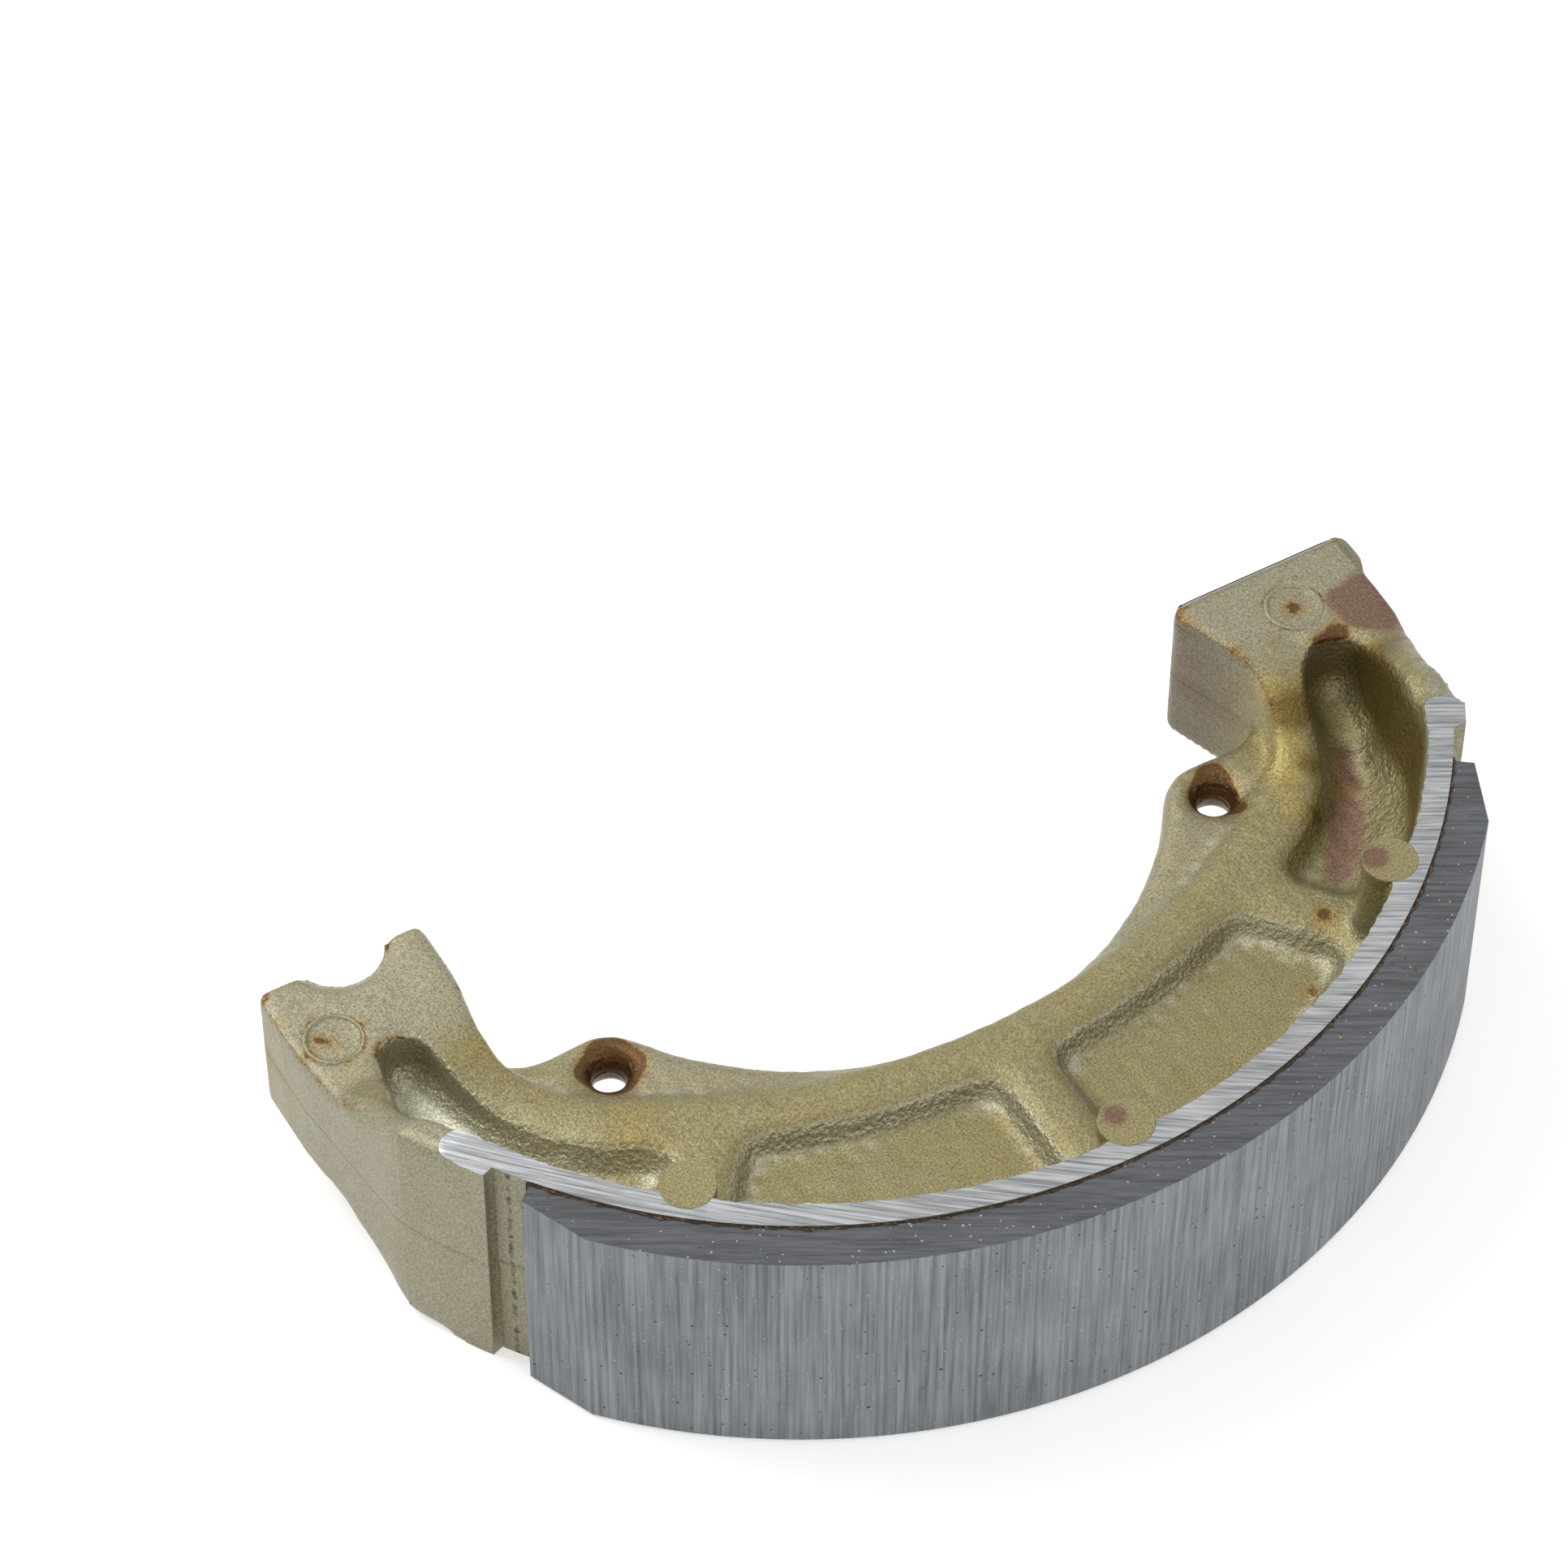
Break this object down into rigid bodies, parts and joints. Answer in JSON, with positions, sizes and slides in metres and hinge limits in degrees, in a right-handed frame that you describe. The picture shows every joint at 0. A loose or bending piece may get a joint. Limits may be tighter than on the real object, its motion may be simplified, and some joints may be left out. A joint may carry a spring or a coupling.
{
  "type": "brake shoe",
  "caption": "Die cast drum brake shoe with a forked anchor seat, a flat cam face, spring ears and a bonded friction lining with tapered ends.",
  "frame": {"origin": "on the axis of the anchor pin, at the middle of the seat's height and of the shoe's width", "axes": "+Z along the pin and the drum axis, +X from the anchor seat towards the cam face, -Y towards the drum; the drum axis is at x 67.9 mm, y 0"},
  "size_m": [0.1615, 0.0882, 0.038],
  "materials": {
    "cast_aluminium": "as cast, with machined rim edges",
    "cured_adhesive": "matte",
    "friction_material": "ground"
  },
  "bodies": {
    "root": {"shoe_casting": "cast_aluminium", "adhesive_film": "cured_adhesive", "friction_lining": "friction_material"}
  },
  "joints": []
}
